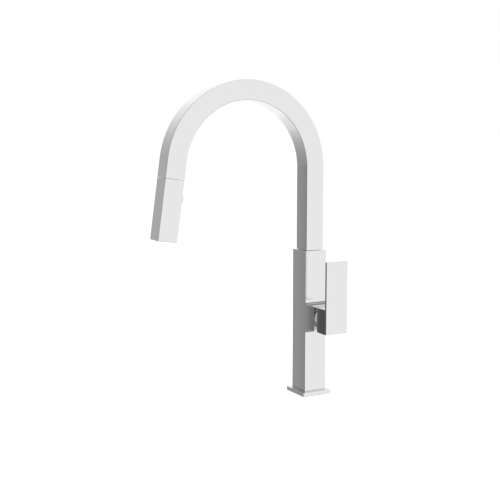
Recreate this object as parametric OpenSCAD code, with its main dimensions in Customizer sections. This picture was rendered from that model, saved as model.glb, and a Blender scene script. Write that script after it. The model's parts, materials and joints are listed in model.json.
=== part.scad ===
// Pull down kitchen faucet of square section: a slim square column on a deck plate, a high square
// gooseneck that swivels, a square spray head on a hose and a single side lever.
// Millimetres. +Z is up, the origin is the centre of the deck plate's underside, the spout runs
// towards -Y (the user) and the lever stands on the +X side.

/* [Column] */
// Width of the square column
column_w = 34; // [33:0.5:38]
// Height of the column's top above the deck
column_top = 204; // [196:1:240]
// Wall of the hollow column
column_wall = 2.2; // [1.8:0.1:2.4]
// Radius of the eased outer edges
edge_r = 0.5; // [0.3:0.1:0.7]

/* [Deck plate] */
// Width of the square deck plate
plate_w = 45.4; // [43:0.2:60]
// Thickness of the deck plate
plate_t = 5.4; // [4:0.2:8]
// Depth of the seal groove in the plate's underside
seal_t = 2; // [1.5:0.1:2.5]

/* [Foot block] */
// Height of the foot block inside the column
foot_grip = 20; // [14:1:26]
// Radius of the threaded water ports, M8 fine
port_r = 4; // [3.5:0.1:4.2]
// Radius of the two stud holes, M6
stud_r = 3; // [2.5:0.1:3.2]
// Radius of the passage for the spray hose
passage_r = 6.2; // [5.6:0.1:6.4]
// Outer radius of the copper tubes
pipe_r = 3; // [2.6:0.1:3.3]
// Wall of the copper tubes
pipe_wall = 0.8; // [0.6:0.1:1]

/* [Valve arm] */
// Height of the valve axis above the deck
arm_z = 113; // [95:1:125]
// Height of the arm
arm_h = 34.4; // [32:0.2:38]
// Reach of the arm's end face from the column's axis
arm_reach = 39.4; // [38:0.2:46]
// Radius of the concave fillets where the arm leaves the column
arm_fillet = 6; // [3:0.5:9]

/* [Cartridge] */
// Radius of the cartridge housing
housing_r = 12.4; // [12:0.1:12.8]
// Radius of the driven ceramic disc
disc_r = 7.8; // [7:0.1:8]
// Thickness of each ceramic disc
disc_t = 3; // [2.4:0.1:3.2]
// Radius of the ball on the stem's inner end
ball_r = 2.4; // [2:0.1:2.6]

/* [Lever] */
// Gap between the arm and the lever's hub
hub_gap = 7.6; // [7:0.2:9]
// Length of the lever's hub
hub_len = 19.7; // [17:0.2:26]
// Thickness of the lever's blade
blade_t = 3.3; // [2.6:0.1:5]
// Rise of the blade's tip above the valve axis
blade_rise = 81.8; // [60:0.2:100]
// Largest tilt of the lever, fully open
lever_tilt = 20; // [15:1:20]

/* [Spout] */
// Width of the square spout tube and of the spray head
tube_w = 26.8; // [26:0.2:28]
// Wall of the spout tube
tube_wall = 1.6; // [1.2:0.1:1.8]
// Radius of the gooseneck, along its centre line
arch_r = 104; // [85:1:120]
// Height above the deck where the gooseneck starts to bend
arch_z = 318; // [290:1:340]
// Angle that the gooseneck turns through
arch_angle = 172; // [165:1:178]
// Straight length at the spout's free end
leg_len = 25; // [24:0.5:40]

/* [Swivel] */
// Step from the tube's sides in to the spout's round spigot
spigot_step = 1.4; // [1:0.1:1.8]
// Depth of the spigot in the column
spigot_len = 26; // [24:1:32]
// Swing of the spout to each side
swing = 60; // [45:5:75]
// Thickness of the glide ring under the spout
glide_t = 0.3; // [0.25:0.05:0.6]

/* [Spray hose] */
// Radius of the spray hose
hose_r = 4.6; // [4.2:0.1:4.8]
// Wall of the spray hose
hose_wall = 1.4; // [1:0.1:1.6]

/* [Spray head] */
// Length of the spray head
head_len = 81; // [74:0.5:110]
// Wall of the head's shell
head_wall = 2; // [1.6:0.1:2.2]
// Gap at the seam between spout and head
seam = 0.2; // [0.15:0.05:0.4]
// Room beside the head's neck for the dock's collar and magnet
dock_room = 3.2; // [3:0.1:3.4]
// Length of the neck above the head
neck_len = 14; // [11:0.5:15]
// Distance of the rocker's pin below the seam
rocker_drop = 25.3; // [24:0.1:32]
// Height of the rocker
rocker_h = 10; // [8:0.2:11]
// Plain margin of the head on each side of the rocker
rocker_side = 3.6; // [3.3:0.1:5]
// Stand-out of the rocker from the head
rocker_out = 3.2; // [2:0.1:4]
// Rock of the rocker to each side
rocker_tilt = 6; // [4:1:7]
// Nozzles along each side of the spray face
nozzles_side = 6; // [4:1:7]
// Radius of one spray nozzle
nozzle_r = 0.8; // [0.6:0.1:0.9]
// Width of the band of nozzles round the aerator
nozzle_band = 5.2; // [5:0.1:5.8]

/* [Hidden] */
$fn = 64;

// Clearances: running fits turn or slide, seats are put together once.
run_gap = 0.08;
seat_gap = 0.05;
free_gap = 0.3;
// How far a cutting shape runs past the face it opens
past = 1;
// How far the lengths of a bent tube run into each other
lap = 0.05;
// The straight leg is this much stouter than the bend, so that their skins never lie in one another
leg_step = 0.01;

// Column and foot block
spigot_room = 2;
spigot_r = tube_w / 2 - spigot_step;
cavity_w = column_w - 2 * column_wall;
cavity_top = column_top - spigot_len - spigot_room;
foot_w = cavity_w - 2 * seat_gap;
foot_lift = 0.6;
foot_top = plate_t + foot_grip;
opening_room = 0.2;
opening_w = cavity_w + 2 * opening_room;
seal_wall = 2;
thread_len = 14;
socket_len = 4;
port_wall = 1.2;
outlet_back = 3.5;
passage_wall = 1;
stud_wall = 2;
stud_side_wall = 1.4;
port_xy = cavity_w / 2 - port_r - port_wall;
outlet_x = port_xy - outlet_back;
hose_x = passage_r + passage_wall - cavity_w / 2;
stud_x = stud_r + stud_wall - cavity_w / 2;
stud_y = cavity_w / 2 - stud_r - stud_side_wall;
channel_r = pipe_r - pipe_wall;

// Valve: places along the arm's axis, measured from the column's axis
seat_x = cavity_w / 2;
manifold_h = 32;
manifold_room = 0.6;
manifold_x = hose_x * (1 - (arm_z + manifold_h / 2) / column_top) + hose_r + manifold_room;
inlet_side = 5.2;
inlet_drop = 3;
outlet_rise = 6;
valve_port_r = channel_r - 0.2;
seal_section = 0.5;
seal_ring_r = channel_r + 0.4;
seal_seat_r = seal_ring_r + seal_section + seat_gap;
housing_wall = 2.2;
housing_floor = 3;
fixed_x = seat_x + housing_floor;
moving_x = fixed_x + disc_t + seat_gap;
carrier_x = moving_x + disc_t;
carrier_t = 2.3;
carrier_step = 1.6;
pocket_depth = 1.4;
recess_t = 0.8;
recess_rim = 2;
spindle_x = carrier_x + carrier_t + free_gap;
pin_inset = 3.7;
pin_cover = 3.8;
pivot_x = spindle_x + pin_inset;
housing_end = pivot_x + pin_cover;
spindle_r = housing_r - housing_wall - run_gap;
spindle_neck_r = 7.2;
ball_x = carrier_x + carrier_t / 2 - seat_gap;
nut_rim = 1.1;
nut_r = housing_r + nut_rim;
nut_t = 3.5;
nut_hex_r = 12;
spindle_out = 1;
spindle_end = housing_end + nut_t + spindle_out;
stem_rod_r = 2.9;
stem_boss_r = 3.3;
stem_neck_r = ball_r - 0.6;
shank_start = 2;
pin_r = 1.25;
pin_short = 0.8;
cap_rim = 1;
cap_side = 1.9;
cap_r = nut_r + cap_side;
cap_hole_r = 9.8;
cap_dome_r = 30;

// Lever
hub_x = arm_reach + hub_gap;
blade_x = hub_x + hub_len;
shank_w = 8;
shank_len = 12;
screw_r = 2.5;
screw_len = 7;
screw_key_r = 1.45;
screw_key_depth = 3;
plug_t = 2.5;

// Spout
inner_w = tube_w - 2 * tube_wall;
spout_z = column_top + glide_t;
lean = 180 - arch_angle;
mouth_y = arch_r * (cos(arch_angle) - 1) - leg_len * sin(arch_angle);
mouth_z = arch_z + arch_r * sin(arch_angle) + leg_len * cos(arch_angle);
plug_h = 14;
bore_r = passage_r + 0.8;
groove_w = 2.2;
groove_depth = 1.8;
ring_r = 0.9;
ring_inset = 5;
ring_heights = [column_top - ring_inset, column_top - spigot_len + ring_inset];
glide_inset = 0.3;
stop_z = column_top - spigot_len / 2;
stop_r = 2.5;
stop_tip_r = 1.8;
stop_depth = 1.6;
stop_sunk = 0.5;
stop_key_r = 1.2;
stop_key_depth = 2;
stop_margin = 1;
stop_tip_reach = spigot_r - stop_depth + free_gap;

// Dock
collar_short = 4;
collar_len = leg_len - collar_short;
neck_r = inner_w / 2 - dock_room;
collar_r = neck_r + free_gap;
magnet_t = 4;
magnet_wall = 1.6;
magnet_r = collar_r + magnet_wall;

// Head
top_wall = 3;
cavity_head = tube_w - 2 * head_wall;
core_w = cavity_head - 2 * seat_gap;
face_recess = 0.8;
face_t = 4;
mat_t = 1.2;
core_end = head_len - face_recess - face_t - mat_t;
ferrule_wall = 0.7;
ferrule_r = hose_r + ferrule_wall;
ferrule_foot = -2;
ferrule_seat = 2;
ferrule_rise = 4;
ferrule_top = neck_len + ferrule_rise;
valve_len = 8;
valve_bore_r = 2;
valve_room = 1;
valve_seat = ferrule_foot - valve_len - valve_room;
water_r = 2.6;
water_y = -water_r;
aerator_len = 11;
aerator_r = cavity_head / 2 - nozzle_band;
aerator_grid_t = 3;
aerator_wall = 1;
grid_pitch = (aerator_r - aerator_wall) / 2.48;
grid_hole_r = 0.36 * grid_pitch;

// Rocker and diverter
rocker_w = tube_w - 2 * rocker_side;
pivot_pin_r = 1;
pivot_pin_short = 0.2;
rocker_back = 0.5;
rocker_pin_y = core_w / 2 - pivot_pin_r - rocker_back;
rocker_in_y = rocker_pin_y - pivot_pin_r - rocker_back;
thumb_start = 1;
thumb_lip = 0.2;
thumb_r = rocker_h / 2 - thumb_start + thumb_lip;
rocker_ease = 0.6;
recess_y = rocker_in_y - rocker_h / 2 * sin(rocker_tilt) - free_gap;
window_h = rocker_h + 2 * ((tube_w / 2 - rocker_pin_y) * sin(rocker_tilt) + free_gap);
window_w = rocker_w + 2 * free_gap;
finger_w = 3;
finger_t = 1.4;
tip_r = 1.1;
finger_room = 1.3;
spool_r = 2.6;
spool_wall = 0.35;
spool_y = recess_y - spool_r - spool_wall;
spool_len = 12;
spool_room = 2;

// Spray face
nozzle_ring = cavity_head / 2 - 2.4;
nozzle_pitch = 2 * nozzle_ring / (nozzles_side - 1);
nozzle_out = 0.7;
spray_room = 1.2;
spray_channel_r = 1.2;
spray_depth = 2;

// Square with rounded corners, centred
module soft_square(w, d, r) {
    square([w - 2 * r, d], center = true);
    square([w, d - 2 * r], center = true);
    for (sx = [-1, 1], sy = [-1, 1]) {
        translate([sx * (w / 2 - r), sy * (d / 2 - r)]) circle(r);
    }
}

// Block with all its edges eased, standing on z = 0
module soft_block(w, d, h, r) {
    intersection() {
        linear_extrude(h) soft_square(w, d, r);
        translate([0, d / 2, h / 2]) rotate([90, 0, 0]) linear_extrude(d) soft_square(w, h, r);
        translate([-w / 2, 0, h / 2]) rotate([90, 0, 90]) linear_extrude(w) soft_square(d, h, r);
    }
}

// Plain square bar, centred on the z axis
module bar(w, h) {
    linear_extrude(h) square(w, center = true);
}

// Ring of round section lying around the z axis
module o_ring(centre_r, section_r) {
    rotate_extrude() translate([centre_r, 0]) circle(section_r);
}

// Turns the z axis along the arm, at its place on the valve axis
module on_arm(x) {
    translate([x, 0, arm_z]) rotate([0, 90, 0]) children();
}

// Frame of the spout's mouth: its origin is the mouth's centre and +z runs back into the spout
module at_mouth() {
    translate([0, mouth_y, mouth_z]) rotate([-lean, 0, 0]) children();
}

// Sweeps a section round the gooseneck
module round_arch() {
    translate([0, -arch_r, arch_z]) rotate([90, 0, 90]) rotate_extrude(angle = arch_angle)
        translate([arch_r, 0]) children();
}

// Sweeps one section up the spout and round its bend, and a second one along the straight leg
module along_spout(further) {
    translate([0, 0, spout_z - further]) linear_extrude(arch_z - spout_z + further) children(0);
    round_arch() children(0);
    at_mouth() translate([0, 0, -further]) linear_extrude(leg_len + further + lap) children(1);
}

// Deck plate: square flange that carries the column, with a seal groove under it
module base_plate() {
    color("silver") difference() {
        soft_block(plate_w, plate_w, plate_t, edge_r);
        translate([0, 0, -past]) bar(opening_w, plate_t + 2 * past);
        translate([0, 0, -past]) linear_extrude(seal_t + past) seal_ring(0);
    }
}

// Outline of the deck seal, less a clearance at each side
module seal_ring(gap) {
    difference() {
        square(plate_w - 2 * (seal_wall + gap), center = true);
        square(opening_w + 2 * (seal_wall + gap), center = true);
    }
}

// Rubber seal between plate and deck
module base_seal() {
    color("dimgray") linear_extrude(seal_t) seal_ring(seat_gap);
}

// Brass block in the column's foot, with the ports, the studs and the hose passage
module foot_block() {
    color("goldenrod") difference() {
        translate([0, 0, foot_lift]) bar(foot_w, foot_top - foot_lift);
        translate([hose_x, 0, 0]) cylinder(r = passage_r, h = foot_top + past);
        for (side = [-1, 1]) {
            translate([port_xy, side * port_xy, 0]) water_port();
            translate([stud_x, side * stud_y, 0]) cylinder(r = stud_r, h = thread_len + foot_lift);
        }
        translate([outlet_x, 0, 0]) water_port();
    }
}

// Threaded port from below, channel, and socket for a copper tube from above
module water_port() {
    cylinder(r = port_r, h = thread_len + foot_lift);
    cylinder(r = channel_r, h = foot_top + past);
    translate([0, 0, foot_top - socket_len]) cylinder(r = pipe_r + seat_gap, h = socket_len + past);
}

// Column and valve arm: one hollow casting
module body() {
    color("silver") difference() {
        union() {
            translate([0, 0, plate_t]) soft_block(column_w, column_w, column_top - plate_t, edge_r);
            translate([arm_reach / 2, 0, arm_z - arm_h / 2])
                soft_block(arm_reach, column_w, arm_h, edge_r);
            arm_fillets();
        }
        translate([0, 0, plate_t - past]) bar(cavity_w, cavity_top - plate_t + past);
        cylinder(r = spigot_r + run_gap, h = column_top + past);
        on_arm(0) cylinder(r = housing_r + seat_gap, h = arm_reach + past);
        on_arm(housing_end) cylinder(r = nut_r + seat_gap, h = arm_reach);
        translate([0, column_w / 2 + past, stop_z]) rotate([90, 0, 0])
            cylinder(r = stop_r, h = column_w / 2);
    }
}

// Concave fillets above and below the arm, as wide as the column
module arm_fillets() {
    for (side = [-1, 1]) {
        translate([column_w / 2, column_w / 2, arm_z + side * arm_h / 2]) rotate([90, 0, 0])
            linear_extrude(column_w) mirror([0, (1 - side) / 2]) inside_corner(arm_fillet);
    }
}

// Filling of a square inside corner, sunk a little into both its walls
module inside_corner(r) {
    sunk = 2 * edge_r;
    difference() {
        translate([-sunk, -sunk]) square(r + sunk);
        translate([r, r]) circle(r);
    }
}

// Copper tube between the foot block and the manifold
module copper_tube(x, y) {
    translate([x, y, foot_top - socket_len]) difference() {
        tube_len = arm_z - manifold_h / 2 - foot_top + 2 * socket_len;
        cylinder(r = pipe_r, h = tube_len);
        translate([0, 0, -past]) cylinder(r = channel_r, h = tube_len + 2 * past);
    }
}

// Hot and cold tubes
module supply_tubes() {
    color("peru") for (side = [-1, 1]) copper_tube(port_xy, side * port_xy);
}

// Tube that takes the mixed water down to the spray hose
module outlet_tube() {
    color("peru") copper_tube(outlet_x, 0);
}

// Brass block that seats the cartridge and turns the water channels into the arm
module manifold() {
    manifold_w = foot_w;
    low = arm_z - manifold_h / 2;
    inlet_z = arm_z - inlet_drop;
    outlet_z = arm_z + outlet_rise;
    color("goldenrod") difference() {
        translate([manifold_x, -manifold_w / 2, low])
            cube([seat_x - manifold_x, manifold_w, manifold_h]);
        for (side = [-1, 1]) {
            riser(port_xy, side * port_xy, low, inlet_z);
            translate([port_xy, side * inlet_side, inlet_z]) rotate([0, 90, 0])
                cylinder(r = channel_r, h = seat_x);
            translate([port_xy, side * (inlet_side + port_xy) / 2, inlet_z]) rotate([90, 0, 0])
                cylinder(r = channel_r, h = port_xy - inlet_side, center = true);
        }
        riser(outlet_x, 0, low, outlet_z);
        translate([outlet_x, 0, outlet_z]) rotate([0, 90, 0]) cylinder(r = channel_r, h = seat_x);
    }
}

// Upright channel in the manifold, with the socket of its copper tube
module riser(x, y, low, high) {
    translate([x, y, low - past]) cylinder(r = channel_r, h = high - low + past);
    translate([x, y, high]) sphere(channel_r);
    translate([x, y, low - past]) cylinder(r = pipe_r + seat_gap, h = socket_len + past);
}

// Places of the three water ports on the cartridge's seat, in the arm's frame
module at_valve_ports() {
    translate([-outlet_rise, 0]) children();
    for (side = [-1, 1]) translate([inlet_drop, side * inlet_side]) children();
}

// O-rings between the manifold and the cartridge
module port_seals() {
    color("dimgray") on_arm(seat_x + seal_section) at_valve_ports() o_ring(seal_ring_r, seal_section);
}

// Plastic cup that holds the discs and the spindle
module cartridge_housing() {
    color("white") on_arm(seat_x) difference() {
        cylinder(r = housing_r, h = housing_end - seat_x);
        translate([0, 0, housing_floor])
            cylinder(r = housing_r - housing_wall, h = housing_end - seat_x);
        translate([0, 0, -past]) at_valve_ports() cylinder(r = seal_seat_r, h = 2 * seal_section + past);
        translate([0, 0, -past]) at_valve_ports()
            cylinder(r = valve_port_r, h = housing_floor + 2 * past);
    }
}

// Ceramic disc that stays put, with the three ports
module fixed_disc() {
    color("ghostwhite") on_arm(fixed_x) difference() {
        cylinder(r = spindle_r, h = disc_t);
        translate([0, 0, -past]) at_valve_ports() cylinder(r = valve_port_r, h = disc_t + 2 * past);
    }
}

// Ceramic disc that the stem drives, with its carrier and the pocket for the stem's ball
module moving_disc() {
    color("ghostwhite") on_arm(moving_x) difference() {
        union() {
            cylinder(r = disc_r, h = disc_t);
            cylinder(r = disc_r - carrier_step, h = disc_t + carrier_t);
        }
        translate([0, 0, disc_t - pocket_depth])
            cylinder(r = ball_r + seat_gap, h = carrier_t + pocket_depth + past);
        translate([0, 0, -past]) mixing_recess();
    }
}

// Shallow recess in the driven disc's face, which joins the inlets to the outlet
module mixing_recess() {
    tongue_w = 2.6;
    linear_extrude(recess_t + past) difference() {
        circle(disc_r - recess_rim);
        translate([disc_r - recess_rim - tongue_w / 2, 0]) square([tongue_w, disc_r], center = true);
    }
}

// Spindle: turns in the housing and guides the stem in its slot
module spindle() {
    slot_w = 2 * (stem_rod_r + free_gap);
    slot_up = stem_rod_r + 4 * free_gap;
    slot_down = stem_rod_r + (spindle_end - pivot_x) * tan(lever_tilt) + 2 * free_gap;
    color("gainsboro") difference() {
        union() {
            on_arm(spindle_x) cylinder(r = spindle_r, h = housing_end - spindle_x - free_gap);
            on_arm(spindle_x) cylinder(r = spindle_neck_r, h = spindle_end - spindle_x);
        }
        translate([spindle_x - past, -slot_w / 2, arm_z - slot_down])
            cube([spindle_end - spindle_x + 2 * past, slot_w, slot_down + slot_up]);
        translate([pivot_x, 0, arm_z]) rotate([90, 0, 0])
            cylinder(r = pin_r + seat_gap, h = 2 * spindle_r + past, center = true);
    }
}

// Steel pin that the stem tilts on
module stem_pin() {
    color("silver") translate([pivot_x, 0, arm_z]) rotate([90, 0, 0])
        cylinder(r = pin_r, h = 2 * (spindle_r - pin_short), center = true);
}

// Stem: ball in the disc, rod in the spindle, square shank in the lever
module stem() {
    color("silver") difference() {
        union() {
            on_arm(ball_x) sphere(ball_r);
            on_arm(ball_x) cylinder(r = stem_neck_r, h = pivot_x - ball_x);
            translate([pivot_x, 0, arm_z]) rotate([90, 0, 0])
                cylinder(r = stem_boss_r, h = 2 * stem_rod_r, center = true);
            on_arm(pivot_x) cylinder(r = stem_rod_r, h = hub_x - pivot_x);
            on_arm(hub_x - shank_start) bar(shank_w, shank_start + shank_len - seat_gap);
        }
        translate([pivot_x, 0, arm_z]) rotate([90, 0, 0])
            cylinder(r = pin_r + run_gap, h = 2 * stem_rod_r + past, center = true);
    }
}

// Brass nut that clamps the cartridge, with a hexagon for the spanner
module cartridge_nut() {
    color("goldenrod") on_arm(housing_end) difference() {
        union() {
            cylinder(r = nut_r, h = nut_t);
            cylinder(r = nut_hex_r, h = arm_reach - housing_end, $fn = 6);
        }
        translate([0, 0, -past]) cylinder(r = spindle_neck_r + free_gap, h = arm_reach);
    }
}

// Chromed cap over the nut, seen in the gap before the lever
module dome_cap() {
    dome_drop = sqrt(cap_dome_r * cap_dome_r - cap_r * cap_r);
    color("silver") on_arm(arm_reach) rotate_extrude() difference() {
        union() {
            translate([cap_hole_r, 0]) square([cap_r - cap_hole_r, cap_rim]);
            intersection() {
                translate([0, cap_rim - dome_drop]) circle(cap_dome_r, $fn = 360);
                translate([cap_hole_r, 0]) square([cap_r - cap_hole_r, cap_dome_r]);
            }
        }
        translate([0, -cap_rim]) square([nut_hex_r + free_gap, 2 * cap_rim - free_gap]);
    }
}

// Lever: square hub with a thin upright blade, one casting
module lever() {
    low = arm_z - arm_h / 2;
    color("silver") difference() {
        union() {
            translate([hub_x + hub_len / 2 + edge_r / 2, 0, low])
                soft_block(hub_len + edge_r, column_w, arm_h, edge_r);
            translate([blade_x + blade_t / 2, 0, low])
                soft_block(blade_t, column_w, blade_rise + arm_h / 2, edge_r);
        }
        on_arm(hub_x - past) bar(shank_w + 2 * seat_gap, shank_len + past);
        translate([hub_x + shank_len / 2, 0, low - past]) cylinder(r = screw_r, h = arm_h / 2);
    }
}

// Grub screw under the hub that grips the stem
module lever_screw() {
    screw_top = arm_z - shank_w / 2 - seat_gap;
    color("dimgray") translate([hub_x + shank_len / 2, 0, screw_top - screw_len]) difference() {
        cylinder(r = screw_r - seat_gap, h = screw_len);
        translate([0, 0, -past]) cylinder(r = screw_key_r, h = screw_key_depth + past, $fn = 6);
    }
}

// Plug that closes the screw's hole, flush with the hub's underside
module screw_plug() {
    color("silver") translate([hub_x + shank_len / 2, 0, arm_z - arm_h / 2])
        cylinder(r = screw_r - seat_gap, h = plug_t);
}

// Gooseneck: square tube, upright, round the arch and down to the mouth
module spout_tube() {
    color("silver") difference() {
        along_spout(0) {
            soft_square(tube_w, tube_w, edge_r);
            soft_square(tube_w + 2 * leg_step, tube_w + 2 * leg_step, edge_r);
        }
        along_spout(past) {
            square(inner_w, center = true);
            square(inner_w - 2 * leg_step, center = true);
        }
    }
}

// Brass spigot: square in the tube, round in the column, with grooves for seals and stop
module spout_spigot() {
    color("goldenrod") difference() {
        union() {
            translate([0, 0, column_top - spigot_len]) cylinder(r = spigot_r, h = spigot_len + glide_t);
            translate([0, 0, spout_z]) bar(inner_w - 2 * seat_gap, plug_h);
        }
        translate([0, 0, column_top - spigot_len - past])
            cylinder(r = bore_r, h = spigot_len + glide_t + plug_h + 2 * past);
        for (z = ring_heights) {
            translate([0, 0, z]) rotate_extrude() translate([spigot_r - groove_depth, -groove_w / 2])
                square([groove_depth + past, groove_w]);
        }
        stop_groove();
    }
}

// Groove that the stop screw runs in: it ends where the spout may swing no further
module stop_groove() {
    half = swing + asin(stop_tip_r / stop_tip_reach) + stop_margin;
    translate([0, 0, stop_z]) rotate([0, 0, 90 - half]) rotate_extrude(angle = 2 * half)
        translate([spigot_r - stop_depth, -stop_tip_r - free_gap])
            square([stop_depth + past, 2 * (stop_tip_r + free_gap)]);
}

// Two O-rings on the spigot
module spigot_seals() {
    color("dimgray") for (z = ring_heights) {
        translate([0, 0, z]) o_ring(spigot_r - ring_r + run_gap / 2, ring_r);
    }
}

// Slippery ring that the spout turns on
module glide_ring() {
    color("whitesmoke") translate([0, 0, column_top]) difference() {
        cylinder(r = tube_w / 2 - glide_inset, h = glide_t);
        translate([0, 0, -past]) cylinder(r = spigot_r + seat_gap, h = glide_t + 2 * past);
    }
}

// Grub screw in the back of the column: holds the spout down and stops its swing
module stop_screw() {
    screw_out = column_w / 2 - stop_sunk;
    color("dimgray") translate([0, screw_out, stop_z]) rotate([90, 0, 0]) difference() {
        union() {
            cylinder(r = stop_r - seat_gap, h = screw_out - spigot_r - free_gap);
            cylinder(r = stop_tip_r, h = screw_out - stop_tip_reach);
        }
        translate([0, 0, -past]) cylinder(r = stop_key_r, h = stop_key_depth + past, $fn = 6);
    }
}

// Plastic guide in the spout's mouth that the head docks in
module dock_collar() {
    color("white") at_mouth() difference() {
        bar(inner_w - 2 * seat_gap, collar_len);
        translate([0, 0, -past]) cylinder(r = collar_r, h = collar_len + 2 * past);
        translate([0, 0, -past]) cylinder(r = magnet_r + seat_gap, h = magnet_t + seat_gap + past);
    }
}

// Ring magnet that pulls the head home
module dock_magnet() {
    color("gray") at_mouth() difference() {
        cylinder(r = magnet_r, h = magnet_t);
        translate([0, 0, -past]) cylinder(r = collar_r, h = magnet_t + 2 * past);
    }
}

// Hose inside the column: it leans from the foot's passage past the manifold to the spout's axis
module hose_lower() {
    hose_top = column_top - seat_gap;
    hose_lean = atan(-hose_x / hose_top);
    color("darkgray") intersection() {
        translate([hose_x, 0, 0]) rotate([0, hose_lean, 0]) difference() {
            cylinder(r = hose_r, h = 3 * column_top, center = true);
            cylinder(r = hose_r - hose_wall, h = 3 * column_top + past, center = true);
        }
        bar(cavity_w, hose_top);
    }
}

// Hose inside the spout
module hose_arch() {
    color("darkgray") difference() {
        arch_run(hose_r, 0);
        arch_run(hose_r - hose_wall, past);
    }
}

// Round bar along the route of the hose in the spout
module arch_run(r, further) {
    translate([0, 0, column_top - further]) cylinder(r = r, h = arch_z - column_top + further);
    round_arch() circle(r);
}

// End of the hose that leaves the spout with the head
module hose_end() {
    color("darkgray") at_mouth() translate([0, 0, ferrule_seat]) difference() {
        cylinder(r = hose_r, h = leg_len - ferrule_seat);
        translate([0, 0, -past]) cylinder(r = hose_r - hose_wall, h = leg_len + past);
    }
}

// Steel sleeve crimped on the hose's end
module hose_ferrule() {
    color("silver") at_mouth() translate([0, 0, ferrule_foot]) difference() {
        cylinder(r = ferrule_r, h = ferrule_top - ferrule_foot);
        translate([0, 0, ferrule_seat - ferrule_foot]) cylinder(r = hose_r, h = ferrule_top);
        translate([0, 0, -past]) cylinder(r = hose_r - hose_wall, h = ferrule_top);
    }
}

// Shell of the spray head, open below, with the neck's hole and the rocker's window
module head_shell() {
    color("silver") at_mouth() difference() {
        translate([0, 0, -head_len]) soft_block(tube_w, tube_w, head_len - seam, edge_r);
        translate([0, 0, -head_len - past]) bar(cavity_head, head_len - seam - top_wall + past);
        translate([0, 0, -head_len]) cylinder(r = neck_r + seat_gap, h = head_len + past);
        translate([-window_w / 2, 0, -rocker_drop - window_h / 2]) cube([window_w, tube_w, window_h]);
    }
}

// Core of the head: the docking neck, the water channels, the spool's bore and the rocker's seat
module waterway() {
    core_top = -seam - top_wall;
    color("lightgray") at_mouth() difference() {
        union() {
            translate([0, 0, -core_end]) bar(core_w, core_end + core_top);
            translate([0, 0, -core_end]) cylinder(r = neck_r, h = core_end + neck_len);
        }
        translate([0, 0, valve_seat]) cylinder(r = ferrule_r + seat_gap, h = core_end);
        translate([0, water_y, -core_end]) cylinder(r = water_r, h = core_end + valve_seat + past);
        translate([0, 0, -core_end - past])
            cylinder(r = aerator_r + seat_gap, h = aerator_len - face_t + past);
        spray_way();
        translate([-window_w / 2, recess_y, -rocker_drop - window_h / 2])
            cube([window_w, core_w, window_h]);
        translate([-finger_w / 2 - free_gap, spool_y, -rocker_drop - tip_r - finger_room])
            cube([finger_w + 2 * free_gap, core_w, 2 * (tip_r + finger_room)]);
        translate([0, rocker_pin_y, -rocker_drop]) rotate([0, 90, 0])
            cylinder(r = pivot_pin_r + seat_gap, h = core_w + past, center = true);
    }
}

// Way of the spray: from the water channel through the spool's bore down to a ring over the nozzles
module spray_way() {
    half = spool_len / 2 + spool_room;
    translate([0, spool_y, -rocker_drop - half]) cylinder(r = spool_r + run_gap, h = 2 * half);
    translate([0, water_y, -rocker_drop - half + spray_channel_r]) rotate([-90, 0, 0])
        cylinder(r = spray_channel_r, h = spool_y - water_y);
    translate([0, spool_y + spool_r - spray_channel_r, -core_end])
        cylinder(r = spray_channel_r, h = core_end - rocker_drop - half + past);
    translate([0, 0, -core_end - past]) difference() {
        bar(2 * (nozzle_ring + spray_room), spray_depth + past);
        translate([0, 0, -past]) cylinder(r = aerator_r + aerator_wall, h = spray_depth + 3 * past);
    }
}

// Check valve below the hose's end
module check_valve() {
    color("cornflowerblue") at_mouth() translate([0, 0, ferrule_foot - valve_len]) difference() {
        cylinder(r = ferrule_r, h = valve_len);
        translate([0, 0, -past]) cylinder(r = valve_bore_r, h = valve_len + 2 * past);
    }
}

// Rocker on the head's back: a key with a rounded lower end, on a pin, with a finger to the spool
module rocker() {
    out_y = tube_w / 2 + rocker_out;
    half = rocker_h / 2;
    color("silver") at_mouth() translate([0, 0, -rocker_drop]) difference() {
        union() {
            translate([-rocker_w / 2, 0, 0]) rotate([90, 0, 90]) linear_extrude(rocker_w) difference() {
                polygon([
                    [rocker_in_y, -half], [out_y, -half], [out_y, half - rocker_ease],
                    [out_y - rocker_ease, half], [rocker_in_y, half]
                ]);
                difference() {
                    translate([out_y - thumb_r, -half - past])
                        square([thumb_r + past, half + past - thumb_start]);
                    translate([out_y - thumb_r, -thumb_start]) circle(thumb_r);
                }
            }
            translate([-finger_w / 2, spool_y, -finger_t / 2])
                cube([finger_w, rocker_pin_y - pivot_pin_r - spool_y, finger_t]);
            translate([-finger_w / 2, spool_y, 0]) rotate([0, 90, 0]) cylinder(r = tip_r, h = finger_w);
        }
        translate([0, rocker_pin_y, 0]) rotate([0, 90, 0])
            cylinder(r = pivot_pin_r + run_gap, h = rocker_w + past, center = true);
    }
}

// Pin of the rocker
module rocker_pin() {
    color("silver") at_mouth() translate([0, rocker_pin_y, -rocker_drop]) rotate([0, 90, 0])
        cylinder(r = pivot_pin_r, h = core_w - 2 * pivot_pin_short, center = true);
}

// Spool that the rocker's arm moves to change from stream to spray
module diverter_spool() {
    waist_h = 2 * (tip_r + seat_gap);
    color("white") at_mouth() translate([0, spool_y, -rocker_drop]) difference() {
        cylinder(r = spool_r, h = spool_len, center = true);
        translate([-spool_r - past, -tip_r - seat_gap, -waist_h / 2])
            cube([2 * (spool_r + past), 2 * spool_r, waist_h]);
    }
}

// Places of the nozzles: a square ring round the aerator
module at_nozzles() {
    for (side = [0:3], i = [0:nozzles_side - 2]) {
        rotate(90 * side) translate([nozzle_ring, i * nozzle_pitch - nozzle_ring]) children();
    }
}

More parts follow.
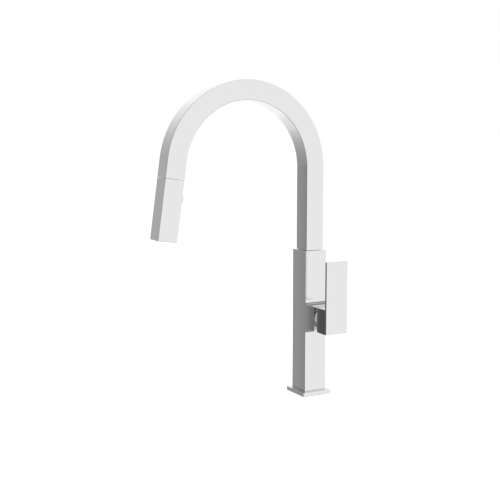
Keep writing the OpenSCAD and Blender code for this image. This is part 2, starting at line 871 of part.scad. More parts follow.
// Face of the head, with the nozzle holes and the aerator's bore
module face_plate() {
    color("dimgray") at_mouth() translate([0, 0, -head_len + face_recess]) difference() {
        bar(core_w, face_t);
        translate([0, 0, -past]) cylinder(r = aerator_r + seat_gap, h = face_t + 2 * past);
        translate([0, 0, -past]) at_nozzles() cylinder(r = nozzle_r + seat_gap, h = face_t + 2 * past);
    }
}

// Rubber mat with its nozzles, pushed through the face from behind
module spray_nozzles() {
    color("gray") at_mouth() translate([0, 0, -head_len + face_recess]) difference() {
        union() {
            translate([0, 0, face_t]) bar(core_w, mat_t);
            translate([0, 0, -nozzle_out]) at_nozzles()
                cylinder(r = nozzle_r, h = nozzle_out + face_t + mat_t / 2);
        }
        translate([0, 0, face_t - past]) cylinder(r = aerator_r + seat_gap, h = mat_t + 2 * past);
        translate([0, 0, -nozzle_out - past]) at_nozzles()
            cylinder(r = nozzle_r / 2, h = nozzle_out + face_t + mat_t + 2 * past);
    }
}

// Aerator: short tube closed by a honeycomb of round holes
module aerator() {
    color("darkgray") at_mouth() translate([0, 0, -head_len + face_recess]) difference() {
        cylinder(r = aerator_r, h = aerator_len);
        translate([0, 0, aerator_grid_t]) cylinder(r = aerator_r - aerator_wall, h = aerator_len);
        for (row = [-2:2], i = [0:4 - abs(row)]) {
            translate([(i - (4 - abs(row)) / 2) * grid_pitch, row * grid_pitch * sin(60), -past])
                cylinder(r = grid_hole_r, h = aerator_grid_t + 2 * past);
        }
    }
}

base_plate();
base_seal();
foot_block();
body();
supply_tubes();
outlet_tube();
manifold();
port_seals();
cartridge_housing();
fixed_disc();
moving_disc();
spindle();
stem_pin();
stem();
cartridge_nut();
dome_cap();
lever();
lever_screw();
screw_plug();
spout_tube();
spout_spigot();
spigot_seals();
glide_ring();
stop_screw();
dock_collar();
dock_magnet();
hose_lower();
hose_arch();
hose_end();
hose_ferrule();
head_shell();
waterway();
check_valve();
rocker();
rocker_pin();
diverter_spool();
face_plate();
spray_nozzles();
aerator();
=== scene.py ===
import json
import math

import bpy
import bmesh
from mathutils import Matrix, Vector


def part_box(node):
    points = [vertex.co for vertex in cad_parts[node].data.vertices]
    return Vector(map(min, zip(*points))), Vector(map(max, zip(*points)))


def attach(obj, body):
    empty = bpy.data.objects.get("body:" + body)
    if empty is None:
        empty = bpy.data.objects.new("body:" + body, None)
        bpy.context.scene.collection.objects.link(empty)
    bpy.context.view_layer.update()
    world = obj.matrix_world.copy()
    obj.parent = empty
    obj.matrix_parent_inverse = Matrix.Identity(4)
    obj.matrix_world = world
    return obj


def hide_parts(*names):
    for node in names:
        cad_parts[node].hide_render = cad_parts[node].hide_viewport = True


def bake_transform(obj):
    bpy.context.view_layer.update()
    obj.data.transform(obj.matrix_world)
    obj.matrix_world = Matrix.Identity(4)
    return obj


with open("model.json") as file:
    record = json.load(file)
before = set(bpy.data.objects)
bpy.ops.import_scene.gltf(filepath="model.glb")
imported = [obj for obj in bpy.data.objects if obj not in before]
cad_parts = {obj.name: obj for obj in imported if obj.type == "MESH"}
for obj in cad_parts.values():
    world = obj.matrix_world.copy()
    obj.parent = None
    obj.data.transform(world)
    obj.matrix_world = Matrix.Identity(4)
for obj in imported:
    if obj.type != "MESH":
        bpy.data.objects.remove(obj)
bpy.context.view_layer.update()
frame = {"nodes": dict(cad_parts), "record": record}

nodes = frame["nodes"]
scene = bpy.context.scene

# The camera stands to the right of the faucet and a little in front of it, at the height of the
# gooseneck, and looks slightly down.
camera_data = bpy.data.cameras.new("camera")
camera_data.sensor_width = 36.0
camera_data.lens = 70.24
camera_data.clip_start = 0.02
camera_data.clip_end = 60.0
camera = bpy.data.objects.new("camera", camera_data)
camera.location = (1.1482, -0.7205, 0.3747)
camera.rotation_euler = (math.radians(82.758), 0.0, math.radians(61.419))
scene.collection.objects.link(camera)
scene.camera = camera
scene.view_settings.view_transform = "Standard"


# The studio is a white tent round the faucet, which the polished metal mirrors. Its white runs
# from the right round the back to the left and ends there at a dark strip, and its front is grey.
# It has a dark gap below its white ceiling, and the room's floor below its hem is dark.
world = bpy.data.worlds.new("tent")
scene.world = world
world.use_nodes = True
tent = world.node_tree
tent.nodes.clear()


def tent_node(kind, operation=None, inputs=(), **settings):
    """First output of a new node, whose inputs are values or outputs of other nodes, in order."""
    node = tent.nodes.new(kind)
    if operation:
        node.operation = operation
    for name, value in settings.items():
        setattr(node, name, value)
    for socket, value in enumerate(inputs):
        if isinstance(value, bpy.types.NodeSocket):
            tent.links.new(value, node.inputs[socket])
        else:
            node.inputs[socket].default_value = value
    return node.outputs[0]


def tent_ramp(share, stops):
    """Grey over a share from 0 to 1, by stops of place and grey."""
    grey_scale = tent_node("ShaderNodeValToRGB", inputs=(share,))
    steps = grey_scale.node.color_ramp.elements
    while len(steps) < len(stops):
        steps.new(0.5)
    for step, (place, _) in zip(steps, stops):
        step.position = place
    for step, (_, grey) in zip(steps, stops):
        step.color = (grey, grey, grey, 1.0)
    return grey_scale


direction = tent_node("ShaderNodeTexCoord")
parts = tent_node("ShaderNodeSeparateXYZ", inputs=(direction,)).node.outputs
compass = tent_node("ShaderNodeMath", "ARCTAN2", (parts["Y"], parts["X"]))
turn = tent_node("ShaderNodeMath", "MULTIPLY_ADD", (compass, 0.5 / math.pi, 0.5))

# how bright the wall is, by the share of a full turn from -X
broad_wall = tent_ramp(turn, (
    (0.0000, 0.990), (0.0110, 0.930), (0.0206, 0.875), (0.0290, 0.810), (0.0350, 0.750),
    (0.0461, 0.650), (0.0556, 0.560), (0.0619, 0.500), (0.0714, 0.440), (0.0800, 0.394),
    (0.0870, 0.340), (0.0941, 0.070), (0.1250, 0.060), (0.1600, 0.180), (0.2100, 0.340),
    (0.2600, 0.380), (0.3300, 0.320), (0.4000, 0.360), (0.4700, 0.850), (0.5300, 1.000),
    (0.6500, 1.000), (0.7600, 0.900), (0.8800, 0.960), (0.9200, 1.060), (0.9600, 1.090),
    (0.9850, 1.090), (1.0000, 0.990)))

# its edge against the dark strip is sharp and has stops of its own
edge_start, edge_end = 0.0800, 0.0940
edge_turn = tent_node("ShaderNodeMapRange", inputs=(turn, edge_start, edge_end))
edge_wall = tent_ramp(edge_turn, (
    (0.000, 0.394), (0.380, 0.354), (0.470, 0.349), (0.500, 0.344), (0.536, 0.333),
    (0.571, 0.318), (0.600, 0.299), (0.629, 0.270), (0.650, 0.243), (0.671, 0.206),
    (0.700, 0.170), (0.730, 0.132), (0.764, 0.102), (0.793, 0.087), (0.836, 0.077),
    (1.000, 0.070)))
past_start = tent_node("ShaderNodeMath", "GREATER_THAN", (turn, edge_start))
before_end = tent_node("ShaderNodeMath", "LESS_THAN", (turn, edge_end))
at_edge = tent_node("ShaderNodeMath", "MULTIPLY", (past_start, before_end))
either = tent_node("ShaderNodeMix", data_type="RGBA").node
for socket, value in (("Factor_Float", at_edge), ("A_Color", broad_wall), ("B_Color", edge_wall)):
    tent.links.new(value, next(s for s in either.inputs if s.identifier == socket))
wall = either.outputs["Result"]

# how much of it is left towards the top: the dark gap, and then the white ceiling
top_start, top_end = 0.60, 1.00
lift = tent_node("ShaderNodeMapRange", inputs=(parts["Z"], top_start, top_end))
top = tent_ramp(lift, (
    (0.00, 1.0), (0.25, 0.98), (0.40, 0.88), (0.50, 0.66), (0.58, 0.34), (0.63, 0.28),
    (0.66, 0.60), (0.70, 0.95), (1.00, 1.00)))

# how much is left towards the bottom: the hem is a little higher on the right and behind
hem_tilt = (0.095, 0.095, -1.0)
hem_start, hem_end = 0.405, 0.465
slope = tent_node("ShaderNodeVectorMath", "DOT_PRODUCT", (direction, hem_tilt))
hem = tent_node("ShaderNodeMapRange", inputs=(slope.node.outputs["Value"], hem_start, hem_end))
below = tent_ramp(hem, ((0.00, 1.0), (0.25, 0.98), (0.42, 0.92), (1.00, 0.33)))

# the metal mirrors the tent, and the lens sees a plain white backdrop
upper = tent_node("ShaderNodeVectorMath", "MULTIPLY", (wall, top))
whole = tent_node("ShaderNodeVectorMath", "MULTIPLY", (upper, below))
mirrored = tent_node("ShaderNodeBackground", inputs=(whole, 1.0))
backdrop = tent_node("ShaderNodeBackground", inputs=((1.0, 1.0, 1.0, 1.0), 1.0))
path = tent_node("ShaderNodeLightPath").node.outputs
seen = tent_node("ShaderNodeMixShader", inputs=(path["Is Camera Ray"], mirrored, backdrop))
tent_out = tent.nodes.new("ShaderNodeOutputWorld")
tent.links.new(seen, tent_out.inputs["Surface"])


# A soft lamp overhead brings painted and plastic pieces to their own colours and gives the faucet
# a faint shadow on the floor.
lamp_data = bpy.data.lights.new("overhead", "AREA")
lamp_data.shape = "DISK"
lamp_data.size = 1.6
lamp_data.energy = 40.0
lamp = bpy.data.objects.new("overhead", lamp_data)
lamp.location = (0.5, 0.4, 1.9)
lamp_aim = Vector((0.0, -0.1, 0.2))   # the middle of the faucet
lamp.rotation_euler = (lamp_aim - lamp.location).to_track_quat("-Z", "Y").to_euler()
lamp.visible_glossy = False
scene.collection.objects.link(lamp)


# The floor is a large pale sheet that runs on into the white of the tent. It lies half a
# millimetre below the faucet and catches its shadow.
floor_reach, floor_drop = 20.0, 0.0005
floor_mesh = bpy.data.meshes.new("floor")
floor_mesh.from_pydata(
    [(x * floor_reach, y * floor_reach, 0.0) for x, y in ((-1, -1), (1, -1), (1, 1), (-1, 1))],
    [], [(0, 1, 2, 3)])
floor = bpy.data.objects.new("floor", floor_mesh)
scene.collection.objects.link(floor)
floor.location.z = -floor_drop
floor.visible_glossy = False


def surface(name, colour, metallic=0.0, roughness=(0.4, 0.5), grain=60.0, stretch=(1.0, 1.0, 1.0),
            shade=0.04, depth=0.00002):
    """Material whose colour, gloss and fine relief wander a little over the piece."""
    fineness = 14.0             # how much finer the relief is than the wander
    wander_span = (0.3, 0.7)    # shares between which the wander mostly stays
    material = bpy.data.materials.new(name)
    material.use_nodes = True
    tree = material.node_tree
    shader = tree.nodes["Principled BSDF"]
    shader.inputs["Metallic"].default_value = metallic
    place = tree.nodes.new("ShaderNodeTexCoord")
    scale = tree.nodes.new("ShaderNodeMapping")
    scale.inputs["Scale"].default_value = stretch
    wander = tree.nodes.new("ShaderNodeTexNoise")
    wander.inputs["Scale"].default_value = grain
    wander.inputs["Detail"].default_value = 4.0
    fine = tree.nodes.new("ShaderNodeTexNoise")
    fine.inputs["Scale"].default_value = grain * fineness
    fine.inputs["Detail"].default_value = 3.0
    tree.links.new(place.outputs["Object"], scale.inputs["Vector"])
    for noise in (wander, fine):
        tree.links.new(scale.outputs["Vector"], noise.inputs["Vector"])
    tone = tree.nodes.new("ShaderNodeMix")
    tone.data_type = "RGBA"
    dark = [max(channel * (1.0 - shade), 0.0) for channel in colour]
    light = [min(channel * (1.0 + shade), 1.0) for channel in colour]
    tone.inputs["A"].default_value = (*dark, 1.0)
    tone.inputs["B"].default_value = (*light, 1.0)
    tree.links.new(wander.outputs["Fac"], tone.inputs["Factor"])
    tree.links.new(tone.outputs["Result"], shader.inputs["Base Color"])
    gloss = tree.nodes.new("ShaderNodeMapRange")
    gloss.inputs["From Min"].default_value, gloss.inputs["From Max"].default_value = wander_span
    gloss.inputs["To Min"].default_value, gloss.inputs["To Max"].default_value = roughness
    tree.links.new(wander.outputs["Fac"], gloss.inputs["Value"])
    tree.links.new(gloss.outputs["Result"], shader.inputs["Roughness"])
    relief = tree.nodes.new("ShaderNodeBump")
    relief.inputs["Distance"].default_value = depth
    tree.links.new(fine.outputs["Fac"], relief.inputs["Height"])
    tree.links.new(relief.outputs["Normal"], shader.inputs["Normal"])
    return material


pale_floor = surface("pale_floor", (0.85, 0.85, 0.85), roughness=(0.7, 0.8), grain=3.0, shade=0.01)
floor_mesh.materials.append(pale_floor)

# the camera sees it as a lit white sheet, on which only deep shadow shows
paper = pale_floor.node_tree
glow = paper.nodes.new("ShaderNodeEmission")
glow.inputs["Strength"].default_value = 0.80
shaded = paper.nodes.new("ShaderNodeBsdfDiffuse")
shaded.inputs["Color"].default_value = (0.40, 0.40, 0.40, 1.0)
sheet = paper.nodes.new("ShaderNodeAddShader")
paper.links.new(glow.outputs[0], sheet.inputs[0])
paper.links.new(shaded.outputs[0], sheet.inputs[1])
seen_floor = paper.nodes.new("ShaderNodeMixShader")
paper.links.new(paper.nodes.new("ShaderNodeLightPath").outputs["Is Camera Ray"],
                seen_floor.inputs[0])
paper.links.new(paper.nodes["Principled BSDF"].outputs[0], seen_floor.inputs[1])
paper.links.new(sheet.outputs[0], seen_floor.inputs[2])
paper.links.new(seen_floor.outputs[0], paper.nodes["Material Output"].inputs["Surface"])


# Deck plate: a square brass flange, cast, machined and chromed, held down by the studs under the
# foot. Its rubber seal lies in a groove below and keeps water out of the deck's hole.
chrome = surface("polished_chrome", (0.80, 0.80, 0.80), metallic=1.0, roughness=(0.015, 0.035),
                 grain=9.0, shade=0.004, depth=0.0000008)
rubber = surface("black_rubber", (0.030, 0.030, 0.032), roughness=(0.55, 0.75), grain=300.0,
                 shade=0.2, depth=0.00004)


def flat_areas(shell, same_plane=0.999999):
    """Size of the flat area that each face of a mesh belongs to."""
    size = {}
    for seed in shell.faces:
        if seed in size:
            continue
        group, wave = {seed}, [seed]
        while wave:
            face = wave.pop()
            for edge in face.edges:
                for other in edge.link_faces:
                    if other not in group and other.normal.dot(seed.normal) > same_plane:
                        group.add(other)
                        wave.append(other)
        area = sum(face.calc_area() for face in group)
        for face in group:
            size[face] = area
    return size


def true_normals(shell, least_flat=0.00006, smooth=0.80):
    """One normal for each face corner: flats stay flat and eased edges run round into them.

    least_flat is the area from which a face counts as flat, and smooth the cosine of the angle up
    to which faces run into each other.
    """
    shell.normal_update()
    size = flat_areas(shell)
    normals = []
    for face in shell.faces:
        face.smooth = True
        for loop in face.loops:
            if size[face] > least_flat:
                normals.append(face.normal.copy())
                continue
            near = [f for f in loop.vert.link_faces if f.normal.dot(face.normal) > smooth]
            flats = [f for f in near if size[f] > least_flat]
            if flats:
                normals.append(max(flats, key=lambda f: f.normal.dot(face.normal)).normal.copy())
                continue
            normal = Vector()
            for f in near:
                normal += f.normal * f.calc_area()
            normals.append(normal.normalized() if normal.length > 0 else face.normal.copy())
    return normals


def coat(mesh, finish):
    """Gives a whole mesh one material."""
    mesh.materials.clear()
    mesh.materials.append(finish)
    for face in mesh.polygons:
        face.material_index = 0


def polished(node, body, finish, least_flat=0.00006, weld=0.0000005):
    """Copy of a solid with true normals, which stands in for it."""
    shell = bmesh.new()
    shell.from_mesh(nodes[node].data)
    bmesh.ops.remove_doubles(shell, verts=shell.verts, dist=weld)
    normals = true_normals(shell, least_flat)
    mesh = bpy.data.meshes.new(node + "_finished")
    shell.to_mesh(mesh)
    shell.free()
    mesh.normals_split_custom_set(normals)
    coat(mesh, finish)
    piece = bpy.data.objects.new(node + "_finished", mesh)
    scene.collection.objects.link(piece)
    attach(piece, body)
    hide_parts(node)


def dress(node, finish):
    """Gives a solid its material."""
    coat(nodes[node].data, finish)


polished("base_plate", "base", chrome)
dress("base_seal", rubber)


# Column and valve arm: one hollow brass casting, ground flat on all its sides and chromed. Small
# concave fillets, ground by hand, lead from the column into the arm.
polished("body", "base", chrome)


# Foot block: sawn and drilled brass, pressed into the column. The supply hoses, the spray hose's
# end and the two studs screw into its underside.
brass = surface("machined_brass", (0.78, 0.60, 0.31), metallic=1.0, roughness=(0.18, 0.32),
                grain=45.0, stretch=(1.0, 1.0, 9.0), shade=0.05, depth=0.000006)
dress("foot_block", brass)


def grown(name, sizes, build):
    """Piece from a geometry tree: sizes are its named inputs, and build adds its nodes."""
    tree = bpy.data.node_groups.new(name, "GeometryNodeTree")
    sockets = {}
    for label, value in sizes.items():
        kind = {float: "Float", int: "Int", bpy.types.Material: "Material",
                bpy.types.Object: "Object"}[type(value)]
        sockets[label] = tree.interface.new_socket(
            label, in_out="INPUT", socket_type="NodeSocket" + kind).identifier
    tree.interface.new_socket("Geometry", in_out="OUTPUT", socket_type="NodeSocketGeometry")
    given = tree.nodes.new("NodeGroupInput")

    def add(kind, inputs=None, **settings):
        """First output of a new node. An input is a value, an output or the name of a size."""
        node = tree.nodes.new(kind)
        for label, value in settings.items():
            setattr(node, label, value)
        for label, value in (inputs or {}).items():
            if isinstance(value, str):
                value = given.outputs[value]
            if isinstance(value, bpy.types.NodeSocket):
                tree.links.new(value, node.inputs[label])
            else:
                node.inputs[label].default_value = value
        return node.outputs[0]

    def sums(operation, *values):
        """Result of a sum over values, outputs or names of sizes."""
        return add("ShaderNodeMath", dict(enumerate(values)), operation=operation)

    shape = build(add, sums)
    whole = add("GeometryNodeRealizeInstances", {"Geometry": shape})
    done = add("GeometryNodeSetMaterial", {"Geometry": whole, "Material": "Finish"})
    tree.links.new(done, tree.nodes.new("NodeGroupOutput").inputs[0])
    carrier = bpy.data.objects.new(name, bpy.data.meshes.new(name))
    scene.collection.objects.link(carrier)
    modifier = carrier.modifiers.new(name, "NODES")
    modifier.node_group = tree
    for label, value in sizes.items():
        modifier[sockets[label]] = value
    evaluated = carrier.evaluated_get(bpy.context.evaluated_depsgraph_get())
    mesh = bpy.data.meshes.new_from_object(evaluated)
    carrier.modifiers.remove(modifier)
    carrier.data = mesh
    mesh.name = name
    coat(mesh, sizes["Finish"])
    return carrier


def thread(add, sums):
    """Ridge, swept along a spiral and closed at its ends."""
    ridge_sides, steps_per_turn = 3, 28
    ridge = add("GeometryNodeCurvePrimitiveCircle", {
        "Resolution": ridge_sides, "Radius": "Ridge"})
    turns = sums("DIVIDE", "Depth", "Pitch")
    spiral = add("GeometryNodeCurveSpiral", {
        "Resolution": steps_per_turn, "Rotations": turns, "Start Radius": "Radius",
        "End Radius": "Radius", "Height": "Depth"})
    return add("GeometryNodeCurveToMesh", {
        "Curve": spiral, "Profile Curve": ridge, "Fill Caps": True})


def threads(mount, pitch=0.001, sunk=0.2, height=0.42):
    """Internal thread of a port or stud hole, at the mount of that name.

    sunk and height are shares of the pitch: how far the ridge's middle stands in from the wall of
    the hole, and the ridge's radius.
    """
    place = next(m for m in frame["record"]["mounts"] if m["name"] == mount)
    radius, depth = place["dims"]["r_mm"] / 1000, place["dims"]["length_mm"] / 1000
    piece = grown(mount + "_thread", {
        "Radius": radius - pitch * sunk, "Depth": depth - 2 * pitch, "Pitch": pitch,
        "Ridge": pitch * height, "Finish": brass}, thread)
    x, y, z = place["pos_m"]
    for vertex in piece.data.vertices:
        vertex.co += Vector((x, y, z - depth / 2 + pitch))
    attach(piece, "base")


for mount in ("port_hot", "port_cold", "port_mixed", "stud_back", "stud_front"):
    threads(mount)


# Waterways in the column: three drawn copper tubes run up from the foot block to a brass manifold,
# which turns the water into the arm. O-rings seal the cartridge on it.
copper = surface("drawn_copper", (0.80, 0.46, 0.33), metallic=1.0, roughness=(0.22, 0.38),
                 grain=30.0, stretch=(1.0, 1.0, 0.1), shade=0.08, depth=0.000004)
dress("supply_tubes", copper)
dress("outlet_tube", copper)
dress("manifold", brass)
dress("port_seals", rubber)


# Cartridge: a white plastic cup with two lapped ceramic discs and a spindle. The steel stem tilts
# on its pin for the flow and turns with the spindle for the temperature. A brass nut clamps it.
white_plastic = surface("white_plastic", (0.82, 0.82, 0.80), roughness=(0.32, 0.42), grain=80.0,
                        shade=0.02, depth=0.00001)
ceramic = surface("lapped_ceramic", (0.86, 0.85, 0.82), roughness=(0.12, 0.2), grain=120.0,
                  shade=0.02, depth=0.000002)
steel = surface("turned_steel", (0.62, 0.61, 0.60), metallic=1.0, roughness=(0.2, 0.34),
                grain=70.0, stretch=(9.0, 1.0, 1.0), shade=0.05, depth=0.000004)
for node in ("cartridge_housing", "spindle"):
    dress(node, white_plastic)
for node in ("fixed_disc", "moving_disc"):
    dress(node, ceramic)
for node in ("stem_pin", "stem"):
    dress(node, steel)
dress("cartridge_nut", brass)


# Cap over the nut: a shallow turned dome, chromed, seen in the gap between arm and lever.
polished("dome_cap", "base", chrome, least_flat=0.00002)


# Lever: square hub and thin upright blade, die cast in one and chromed. A blackened grub screw
# under the hub grips the stem, and a chromed plug hides it.
dark_steel = surface("blackened_steel", (0.10, 0.10, 0.105), metallic=1.0, roughness=(0.35, 0.5),
                     grain=120.0, shade=0.15, depth=0.000008)
polished("lever", "handle", chrome)
dress("lever_screw", dark_steel)
polished("screw_plug", "handle", chrome, least_flat=0.00001)


# Swivel: the spout's brass spigot turns in the column on two greased O-rings. A white slip ring
# carries it, and a grub screw in the column's back stops it.
dress("spout_spigot", brass)
dress("spigot_seals", rubber)
dress("glide_ring", white_plastic)
dress("stop_screw", dark_steel)


# Gooseneck: square brass tube, drawn with eased edges, bent on a mandrel round a half turn less
# eight degrees, and polished until its edges run through as one line. It is brazed to the spigot.
neck = {"Width": 0.0268, "Edge": 0.0005, "Wall": 0.0016, "Inner edge": 0.0003,
        "Bend radius": 0.104, "Bend": math.radians(172.0), "Leg": 0.025,
        "Foot height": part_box("spout_tube")[0].z,
        "Bend height": 0.318, "Step": 0.0012, "Finish": chrome}
corner_points = 6   # points that ease each corner of the section


def gooseneck(add, sums):
    """Outer and inner skin of the tube: up to the bend, round it and down the leg to the mouth."""
    rise = sums("SUBTRACT", "Bend height", "Foot height")
    round_way = sums("MULTIPLY", "Bend radius", "Bend")
    length = sums("ADD", sums("ADD", rise, round_way), "Leg")
    line = add("GeometryNodeCurvePrimitiveLine", {
        "Start": (0.0, 0.0, 0.0), "Direction": (0.0, 0.0, 1.0), "Length": length},
        mode="DIRECTION")
    points = add("GeometryNodeResampleCurve", {"Curve": line, "Length": "Step"}, mode="LENGTH")
    done = sums("MULTIPLY", add("GeometryNodeSplineParameter"), length)
    upright = sums("MINIMUM", done, rise)
    turned = sums("DIVIDE", sums("SUBTRACT", done, rise), "Bend radius")
    angle = sums("MINIMUM", sums("MAXIMUM", turned, 0.0), "Bend")
    straight = sums("MAXIMUM", sums("SUBTRACT", sums("SUBTRACT", done, rise), round_way), 0.0)
    sine, cosine = sums("SINE", angle), sums("COSINE", angle)
    y = sums("SUBTRACT", sums("MULTIPLY", "Bend radius", sums("SUBTRACT", cosine, 1.0)),
             sums("MULTIPLY", straight, sine))
    z = sums("ADD", sums("ADD", sums("ADD", "Foot height", upright),
                         sums("MULTIPLY", "Bend radius", sine)),
             sums("MULTIPLY", straight, cosine))
    place = add("ShaderNodeCombineXYZ", {"Y": y, "Z": z})
    route = add("GeometryNodeSetPosition", {"Geometry": points, "Position": place})
    inner_width = sums("SUBTRACT", "Width", sums("MULTIPLY", "Wall", 2.0))
    skins = []
    for width, edge in (("Width", "Edge"), (inner_width, "Inner edge")):
        square = add("GeometryNodeCurvePrimitiveQuadrilateral", {"Width": width, "Height": width})
        eased = add("GeometryNodeFilletCurve", {
            "Curve": square, "Count": corner_points, "Radius": edge}, mode="POLY")
        skins.append(add("GeometryNodeCurveToMesh", {"Curve": route, "Profile Curve": eased}))
    both = add("GeometryNodeJoinGeometry", {"Geometry": skins[0]})
    both.node.id_data.links.new(skins[1], both.node.inputs[0])
    return both


def band(shell, row, after):
    """Faces between two rings of points."""
    count = len(row)
    return [shell.faces.new((row[k], row[(k + 1) % count], after[(k + 1) % count], after[k]))
            for k in range(count)]


spout = grown("gooseneck", neck, gooseneck)
shell = bmesh.new()
shell.from_mesh(spout.data)
shell.verts.ensure_lookup_table()

# a rim at either end joins the skins, whose points follow each other ring by ring
section, skin = 4 * (corner_points + 1), len(shell.verts) // 2
for start in (0, skin - section):
    band(shell, shell.verts[start:start + section],
         shell.verts[skin + start:skin + start + section])
bmesh.ops.recalc_face_normals(shell, faces=shell.faces)
normals = true_normals(shell)
shell.to_mesh(spout.data)
shell.free()
spout.data.normals_split_custom_set(normals)
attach(spout, "spout")
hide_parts("spout_tube")


# Dock: a white collar in the spout's end guides the head's neck, and a ring magnet above it holds
# the head.
magnet = surface("ferrite_magnet", (0.085, 0.082, 0.080), roughness=(0.4, 0.6), grain=260.0,
                 shade=0.2, depth=0.00002)
dress("dock_collar", white_plastic)
dress("dock_magnet", magnet)


# Spray hose: grey nylon yarn braided over a rubber core. It runs down the spout and the column and
# is crimped at both ends in steel sleeves. The end in the dock comes out with the head.

# at_mouth is the middle of the spout's mouth, with its z axis along the spout and up into it
lean = math.pi - neck["Bend"]
mouth = Vector((0.0, neck["Bend radius"] * (math.cos(neck["Bend"]) - 1.0)
                - neck["Leg"] * math.sin(neck["Bend"]),
                neck["Bend height"] + neck["Bend radius"] * math.sin(neck["Bend"])
                + neck["Leg"] * math.cos(neck["Bend"])))
at_mouth = Matrix.Translation(mouth) @ Matrix.Rotation(-lean, 4, "X")


def braided(name, around, girth=0.029):
    """Yarn in two directions, over and under. around is the number of yarns round the girth."""
    # the dark grey is painted shade in the creases between the yarns, and the light grey is the
    # yarn's own colour
    yarn_grey, crease_shade_grey = (0.50, 0.50, 0.52, 1.0), (0.09, 0.09, 0.095, 1.0)
    material = bpy.data.materials.new(name)
    material.use_nodes = True
    tree = material.node_tree
    shader = tree.nodes["Principled BSDF"]

    def calc(operation, *values):
        """Result of a sum over values or outputs."""
        node = tree.nodes.new("ShaderNodeMath")
        node.operation = operation
        for socket, value in enumerate(values):
            if isinstance(value, bpy.types.NodeSocket):
                tree.links.new(value, node.inputs[socket])
            else:
                node.inputs[socket].default_value = value
        return node.outputs[0]

    place = tree.nodes.new("ShaderNodeTexCoord")
    along = tree.nodes.new("ShaderNodeSeparateXYZ")
    tree.links.new(place.outputs["Object"], along.inputs[0])
    turn = tree.nodes.new("ShaderNodeAttribute")
    turn.attribute_name = "turn"
    row = calc("MULTIPLY", along.outputs["Z"], around / girth)
    column = calc("MULTIPLY", turn.outputs["Fac"], around)
    right, left = calc("ADD", column, row), calc("SUBTRACT", column, row)
    yarns = []
    for across in (right, left):
        yarns.append(calc("ABSOLUTE", calc("SINE", calc("MULTIPLY", across, math.pi))))
    quarter_turns = calc("MULTIPLY", calc("FLOOR", right), math.pi / 2)
    over = calc("GREATER_THAN", calc("SINE", quarter_turns), 0.0)
    height = calc("ADD", calc("MULTIPLY", yarns[0], over),
                  calc("MULTIPLY", yarns[1], calc("SUBTRACT", 1.0, over)))
    fuzz = tree.nodes.new("ShaderNodeTexNoise")
    fuzz.inputs["Scale"].default_value = 900.0
    tree.links.new(place.outputs["Object"], fuzz.inputs["Vector"])
    # the colour runs from the painted crease shade up to the yarn grey with the yarn's height, and
    # the fuzz varies it at random
    tone = tree.nodes.new("ShaderNodeMix")
    tone.data_type = "RGBA"
    tone.inputs["A"].default_value = crease_shade_grey
    tone.inputs["B"].default_value = yarn_grey
    tree.links.new(calc("MULTIPLY", height, calc("ADD", fuzz.outputs["Fac"], 0.5)),
                   tone.inputs["Factor"])
    tree.links.new(tone.outputs["Result"], shader.inputs["Base Color"])
    shader.inputs["Roughness"].default_value = 0.55
    relief = tree.nodes.new("ShaderNodeBump")
    relief.inputs["Distance"].default_value = 0.0003
    tree.links.new(height, relief.inputs["Height"])
    tree.links.new(relief.outputs["Normal"], shader.inputs["Normal"])
    return material


def ring(radius, z, sides):
    """Points of a level circle."""
    turns = [2 * math.pi * k / sides for k in range(sides)]
    return [Vector((radius * math.cos(a), radius * math.sin(a), z)) for a in turns]


braid = braided("nylon_braid", 24)
hidden_braid = surface("nylon_yarn", (0.36, 0.36, 0.38), roughness=(0.5, 0.6), grain=420.0,
                       stretch=(1.0, 1.0, 0.4), shade=0.35, depth=0.0001)
dress("hose_lower", hidden_braid)
dress("hose_arch", hidden_braid)
dress("hose_ferrule", steel)

# the end in the dock, from the head's neck up to the arch
hose_sides, rings = 32, 240
hose_outer, hose_inner = 0.0046, 0.0032
hose_low, hose_high = 0.002, neck["Leg"]
hose = bmesh.new()
turn = hose.loops.layers.float.new("turn")
skins = []
for radius in (hose_outer, hose_inner):
    rows = []
    for step in range(rings + 1):
        z = hose_low + (hose_high - hose_low) * step / rings
        rows.append([hose.verts.new(at_mouth @ point) for point in ring(radius, z, hose_sides)])
    skins.append(rows)
outer, inner = skins
strips = list(zip(outer, outer[1:]))
strips += [(above, below) for below, above in zip(inner, inner[1:])]
strips += [(inner[0], outer[0]), (outer[-1], inner[-1])]
for row, after in strips:
    for k, face in enumerate(band(hose, row, after)):
        face.smooth = True
        for loop, share in zip(face.loops, (k, k + 1, k + 1, k)):
            loop[turn] = share / hose_sides
hose_mesh = bpy.data.meshes.new("hose_braid")
hose.to_mesh(hose_mesh)
hose.free()
hose_mesh.materials.append(braid)
hose_piece = bpy.data.objects.new("hose_braid", hose_mesh)
scene.collection.objects.link(hose_piece)
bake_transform(hose_piece)
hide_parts("hose_end")


# Spray head: square shell of zinc, cast, ground and chromed like the spout, so that both read as
# one bar with a fine seam. Waterway, check valve and diverter are plastic and sit inside.
polished("head_shell", "spray_head", chrome)
grey_plastic = surface("grey_plastic", (0.23, 0.23, 0.24), roughness=(0.38, 0.5), grain=110.0,
                       shade=0.05, depth=0.000012)
blue_plastic = surface("blue_plastic", (0.05, 0.16, 0.42), roughness=(0.35, 0.45), grain=110.0,
                       shade=0.05, depth=0.00001)
dress("waterway", grey_plastic)
dress("check_valve", blue_plastic)
dress("diverter_spool", white_plastic)


# Rocker: chromed key on the side of the head towards the column. It rocks on a steel pin and
# pushes the diverter from spray to stream.
polished("rocker", "mode_rocker", chrome, least_flat=0.000012)
dress("rocker_pin", steel)


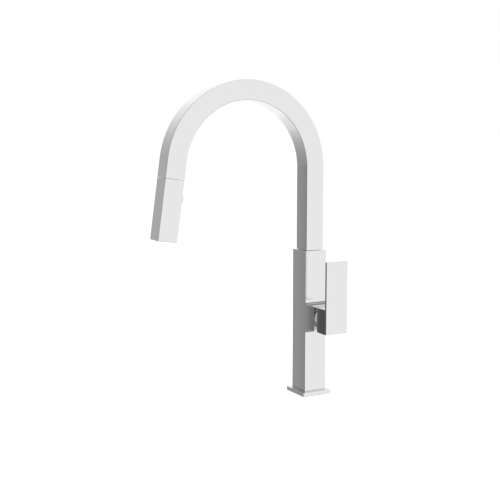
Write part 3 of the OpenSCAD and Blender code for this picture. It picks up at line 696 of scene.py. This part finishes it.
# Spray face: grey plate with an aerator of fine holes in the middle, and twenty soft nozzles in a
# square round it, all on one rubber mat behind the plate, so that lime can be rubbed off.
nozzle_rubber = surface("nozzle_rubber", (0.13, 0.13, 0.135), roughness=(0.5, 0.65), grain=300.0,
                        shade=0.1, depth=0.00002)
aerator_plastic = surface("aerator_plastic", (0.33, 0.33, 0.34), roughness=(0.3, 0.42),
                          grain=150.0, shade=0.05, depth=0.00001)
dress("face_plate", grey_plastic)
dress("aerator", aerator_plastic)

# one nozzle, turned from its outline of radius and height over the face
nozzle_outline = (
    (0.00040, -0.00030), (0.00040, -0.00062), (0.00043, -0.00068), (0.00049, -0.00070),
    (0.00056, -0.00070), (0.00063, -0.00067), (0.00068, -0.00060), (0.00072, -0.00045),
    (0.00080, 0.00010), (0.00080, 0.00040), (0.00080, 0.00430), (0.00040, 0.00430))
nozzle_sides = 24
nozzle = bmesh.new()
rows = [[nozzle.verts.new(point) for point in ring(radius, z, nozzle_sides)]
        for radius, z in nozzle_outline]
for row, after in zip(rows, rows[1:] + rows[:1]):
    for face in band(nozzle, row, after):
        face.smooth = True
nozzle_mesh = bpy.data.meshes.new("one_nozzle")
nozzle.to_mesh(nozzle_mesh)
nozzle.free()
one_nozzle = bpy.data.objects.new("one_nozzle", nozzle_mesh)
middle_share = 0.45   # of the square's width: the nozzles within it are left out


def nozzle_square(add, sums):
    """Nozzles on a square grid, of which only those along its edge are kept."""
    grid = add("GeometryNodeMeshGrid", {
        "Size X": "Width", "Size Y": "Width", "Vertices X": "Per side", "Vertices Y": "Per side"})
    place = add("ShaderNodeSeparateXYZ", {"Vector": add("GeometryNodeInputPosition")}).node.outputs
    reach = sums("MAXIMUM", sums("ABSOLUTE", place["X"]), sums("ABSOLUTE", place["Y"]))
    middle = sums("LESS_THAN", reach, sums("MULTIPLY", "Width", middle_share))
    square = add("GeometryNodeDeleteGeometry", {"Geometry": grid, "Selection": middle})
    turned = add("GeometryNodeObjectInfo", {"Object": "Nozzle"}).node.outputs["Geometry"]
    return add("GeometryNodeInstanceOnPoints", {"Points": square, "Instance": turned})


nozzles = grown("spray_mat", {"Width": 0.018, "Per side": 6, "Nozzle": one_nozzle,
                              "Finish": nozzle_rubber}, nozzle_square)
bpy.data.objects.remove(one_nozzle)

# the mat that carries them, behind the plate and round the aerator
mat = bmesh.new()
mat.from_mesh(nozzles.data)
mat_half, mat_hole, mat_low, mat_high, mat_sides = 0.01135, 0.00625, 0.0040, 0.0052, 64
face_drop = 0.0802   # from the spout's mouth down to the face
rows = []
for outside, z in ((True, mat_low), (True, mat_high), (False, mat_high), (False, mat_low)):
    row = []
    for k in range(mat_sides):
        c, s = math.cos(2 * math.pi * k / mat_sides), math.sin(2 * math.pi * k / mat_sides)
        radius = mat_half / max(abs(c), abs(s)) if outside else mat_hole
        row.append(mat.verts.new((radius * c, radius * s, z)))
    rows.append(row)
for row, after in zip(rows, rows[1:] + rows[:1]):
    band(mat, row, after)
bmesh.ops.recalc_face_normals(mat, faces=mat.faces)
mat.transform(at_mouth @ Matrix.Translation((0, 0, -face_drop)))
mat.to_mesh(nozzles.data)
mat.free()
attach(nozzles, "spray_head")
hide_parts("spray_nozzles")
